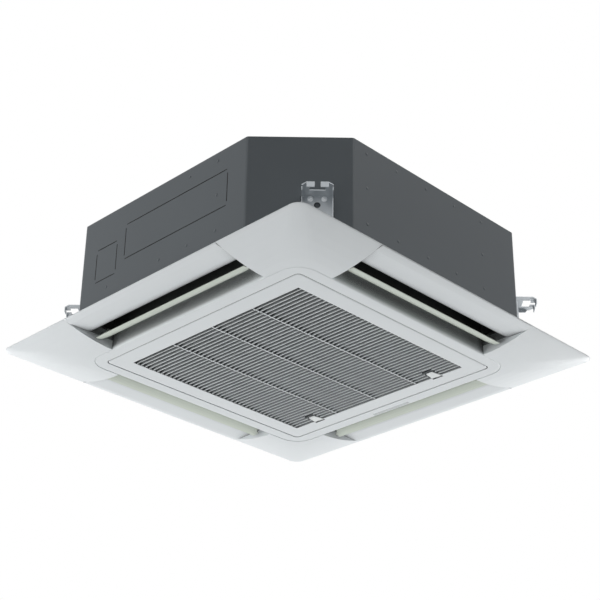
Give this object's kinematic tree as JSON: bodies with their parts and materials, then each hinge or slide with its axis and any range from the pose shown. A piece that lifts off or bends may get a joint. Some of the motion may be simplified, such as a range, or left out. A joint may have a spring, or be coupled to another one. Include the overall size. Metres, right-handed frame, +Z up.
{
  "type": "ceiling cassette air conditioner",
  "caption": "Four-way ceiling cassette air conditioner with square panel, louvred intake grille, hinged air vanes and chamfered steel casing on hanger brackets.",
  "frame": {"origin": "middle of the flat underside of the decoration panel", "axes": "+Z up through the fan's axis; -Y towards the bare nameplate band and the grille's hinge; +Y towards the grille latches; +X to the right when the -Y side is looked at"},
  "size_m": [0.95, 0.95, 0.289],
  "materials": {
    "panel_plastic": "fine matt white moulding",
    "vane_plastic": "satin off-white moulding",
    "latch_plastic": "satin white",
    "receiver_plastic": "smoked gloss",
    "casing_paint": "dark grey coated sheet, satin",
    "galvanised_steel": "galvanised",
    "white_foam": "moulded foam",
    "gasket_foam": "black foam",
    "filter_plastic": "dark net",
    "inner_steel": "grey",
    "fan_plastic": "glass-filled grey",
    "bright_steel": "turned",
    "black_rubber": "matt",
    "fin_aluminium": "fine fins",
    "pipe_copper": "drawn copper",
    "white_plastic": "moulded",
    "board_laminate": "solder resist"
  },
  "bodies": {
    "root": {"panel_frame": "panel_plastic", "corner_cover_rear_right": "panel_plastic", "corner_cover_rear_left": "panel_plastic", "corner_cover_front_left": "panel_plastic", "corner_cover_front_right": "panel_plastic", "panel_gasket": "gasket_foam", "receiver_window": "receiver_plastic", "vane_motor_right": "inner_steel", "vane_motor_rear": "inner_steel", "vane_motor_left": "inner_steel", "vane_motor_front": "inner_steel", "front_side_sheet": "casing_paint", "rear_side_sheet": "casing_paint", "top_plate": "casing_paint", "insulation_liner": "white_foam", "drain_pan": "white_foam", "hanger_bracket_rear_right": "galvanised_steel", "hanger_bracket_rear_left": "galvanised_steel", "hanger_bracket_front_left": "galvanised_steel", "hanger_bracket_front_right": "galvanised_steel", "pipe_cover_plate": "galvanised_steel", "fan_motor": "inner_steel", "motor_plate": "galvanised_steel", "bell_mouth": "fan_plastic", "motor_mount_1": "black_rubber", "motor_mount_2": "black_rubber", "motor_mount_3": "black_rubber", "motor_mount_4": "black_rubber", "heat_exchanger": "fin_aluminium", "coil_end_plate_rear": "galvanised_steel", "coil_end_plate_left": "galvanised_steel", "gas_pipe": "pipe_copper", "liquid_pipe": "pipe_copper", "drain_pump": "white_plastic", "float_switch": "white_plastic", "drain_hose": "black_rubber", "drain_outlet": "white_plastic", "control_box": "galvanised_steel", "control_box_cover": "galvanised_steel", "control_board": "board_laminate"},
    "fan": {"turbo_fan": "fan_plastic", "fan_shaft": "bright_steel", "fan_nut": "bright_steel"},
    "vane_right": {"air_vane_right": "vane_plastic"},
    "vane_rear": {"air_vane_rear": "vane_plastic"},
    "vane_left": {"air_vane_left": "vane_plastic"},
    "vane_front": {"air_vane_front": "vane_plastic"},
    "grille": {"intake_grille": "panel_plastic"},
    "filter": {"air_filter": "filter_plastic"},
    "latch_left": {"grille_latch_left": "latch_plastic"},
    "latch_right": {"grille_latch_right": "latch_plastic"}
  },
  "joints": [
    {"name": "fan_spin", "type": "hinge", "parent": "root", "child": "fan", "pos_m": [0, 0, 0.19], "axis": [0, 0, 1], "continuous": true},
    {"name": "vane_right_tilt", "type": "hinge", "parent": "root", "child": "vane_right", "pos_m": [0.3675, 0, 0.027], "axis": [0, 1, 0], "range_deg": [-20, 30]},
    {"name": "vane_rear_tilt", "type": "hinge", "parent": "root", "child": "vane_rear", "pos_m": [0, 0.3675, 0.027], "axis": [-1, 0, 0], "range_deg": [-20, 30]},
    {"name": "vane_left_tilt", "type": "hinge", "parent": "root", "child": "vane_left", "pos_m": [-0.3675, 0, 0.027], "axis": [0, -1, 0], "range_deg": [-20, 30]},
    {"name": "vane_front_tilt", "type": "hinge", "parent": "root", "child": "vane_front", "pos_m": [0, -0.3675, 0.027], "axis": [1, 0, 0], "range_deg": [-20, 30]},
    {"name": "grille_hinge", "type": "hinge", "parent": "root", "child": "grille", "pos_m": [0, -0.2975, 0.005], "axis": [-1, 0, 0], "range_deg": [0, 85]},
    {"name": "filter_lift", "type": "slide", "parent": "grille", "child": "filter", "axis": [0, 0, 1], "range_m": [0, 0.01]},
    {"name": "latch_left_slide", "type": "slide", "parent": "grille", "child": "latch_left", "axis": [0, -1, 0], "range_m": [0, 0.008], "stiffness_N_per_m": 120},
    {"name": "latch_right_slide", "type": "slide", "parent": "grille", "child": "latch_right", "axis": [0, -1, 0], "range_m": [0, 0.008], "stiffness_N_per_m": 120}
  ]
}
